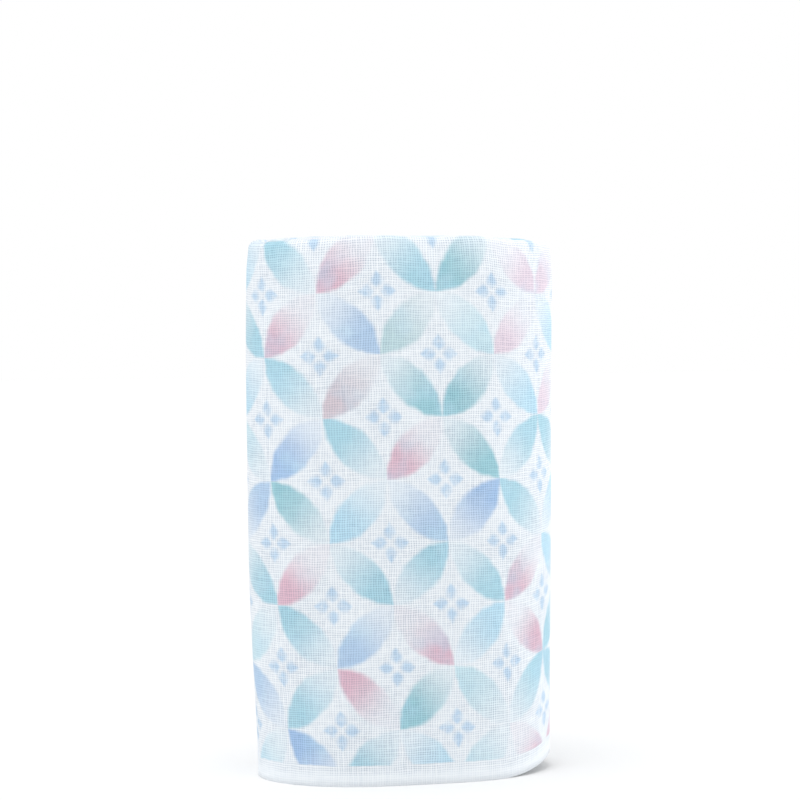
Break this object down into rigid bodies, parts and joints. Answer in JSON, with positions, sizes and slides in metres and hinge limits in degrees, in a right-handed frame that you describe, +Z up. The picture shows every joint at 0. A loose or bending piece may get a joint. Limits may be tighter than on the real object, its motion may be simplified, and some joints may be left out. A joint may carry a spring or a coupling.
{
  "type": "tenugui towel",
  "caption": "Rolled gauze tenugui hand towel, folded in half and wound into a flat oval roll that stands on its end, dyed with linked petal circles.",
  "frame": {"origin": "middle of the roll's footprint, on the surface that it stands on", "axes": "+Z up along the roll, from the woven edges to the fold; X along the long axis of the oval; the broad front faces -Y"},
  "size_m": [0.1, 0.06, 0.1701],
  "materials": {
    "dyed_gauze": "open two-ply gauze, white, dyed with soft petals in pale teal, sky, blue and rose"
  },
  "bodies": {
    "root": {"rolled_towel": "dyed_gauze"}
  },
  "joints": []
}
